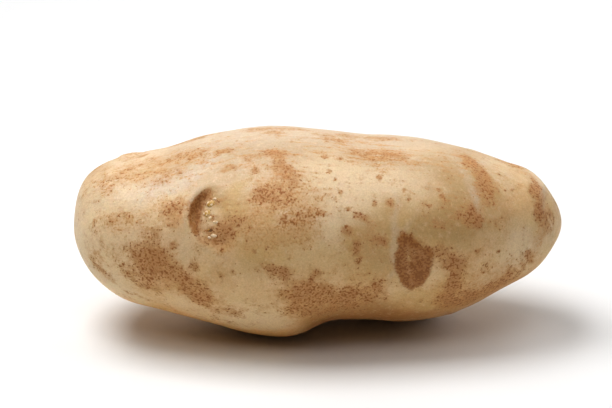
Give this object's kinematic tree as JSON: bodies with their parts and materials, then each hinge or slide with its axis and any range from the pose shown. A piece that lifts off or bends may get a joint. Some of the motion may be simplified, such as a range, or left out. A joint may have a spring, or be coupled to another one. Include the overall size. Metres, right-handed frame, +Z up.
{
  "type": "potato",
  "caption": "Long oval unpeeled potato with shallow eyes, pale tan skin and russet freckles, lying on its belly.",
  "frame": {"origin": "on the resting surface, under the middle of the potato's bounding box", "axes": "+X along the potato from its stem end to its bud end, +Y to its back, +Z up"},
  "size_m": [0.14, 0.065, 0.0586],
  "materials": {
    "potato_skin": "thin dry skin, pale tan with russet freckles and patches, low soft gloss"
  },
  "bodies": {
    "root": {"potato": "potato_skin"}
  },
  "joints": []
}
